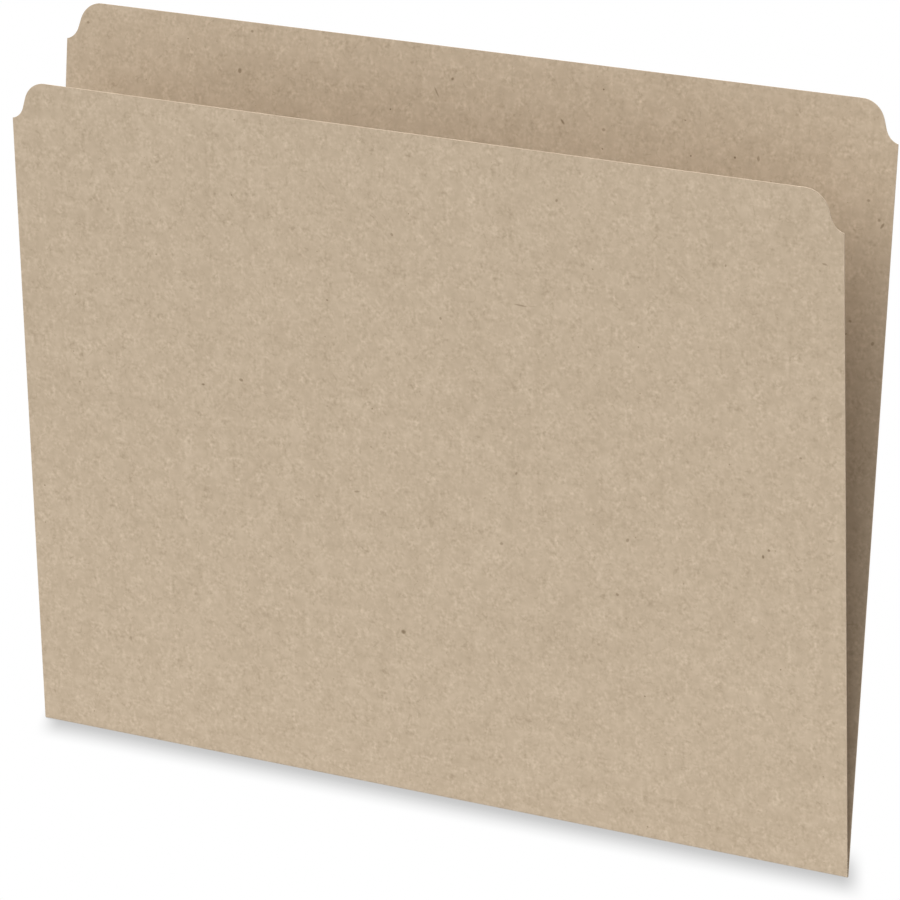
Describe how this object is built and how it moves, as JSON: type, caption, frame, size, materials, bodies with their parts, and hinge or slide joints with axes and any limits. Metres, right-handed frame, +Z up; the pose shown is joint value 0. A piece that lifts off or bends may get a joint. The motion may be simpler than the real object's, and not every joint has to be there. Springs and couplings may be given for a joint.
{
  "type": "file folder",
  "caption": "Straight-cut letter-size file folder in kraft card, standing half open on its fold: a taller back flap, a shorter front flap with expansion scores, and full-width tabs.",
  "frame": {"origin": "on the ground under the middle of the fold, half way between the tops of the two flaps", "axes": "+X along the fold, +Y from the front flap to the back flap, +Z up"},
  "size_m": [0.2984, 0.0356, 0.2408],
  "materials": {
    "kraft_card": "matte"
  },
  "bodies": {
    "back_panel": {"back_panel": "kraft_card"},
    "expansion_strip_1": {"expansion_strip_1": "kraft_card"},
    "expansion_strip_2": {"expansion_strip_2": "kraft_card"},
    "expansion_strip_3": {"expansion_strip_3": "kraft_card"},
    "front_panel": {"front_panel": "kraft_card"}
  },
  "joints": [
    {"name": "main_fold", "type": "hinge", "parent": "back_panel", "child": "expansion_strip_1", "pos_m": [0, 0, 0.00018], "axis": [1, 0, 0], "range_deg": [-8.1, 171.36]},
    {"name": "expansion_score_1", "type": "hinge", "parent": "expansion_strip_1", "child": "expansion_strip_2", "pos_m": [0, -0.00079, 0.00649], "axis": [1, 0, 0], "range_deg": [0, 55]},
    {"name": "expansion_score_2", "type": "hinge", "parent": "expansion_strip_2", "child": "expansion_strip_3", "pos_m": [0, -0.00129, 0.01282], "axis": [1, 0, 0], "range_deg": [0, 55]},
    {"name": "expansion_score_3", "type": "hinge", "parent": "expansion_strip_3", "child": "front_panel", "pos_m": [0, -0.00179, 0.01915], "axis": [1, 0, 0], "range_deg": [0, 55]}
  ]
}
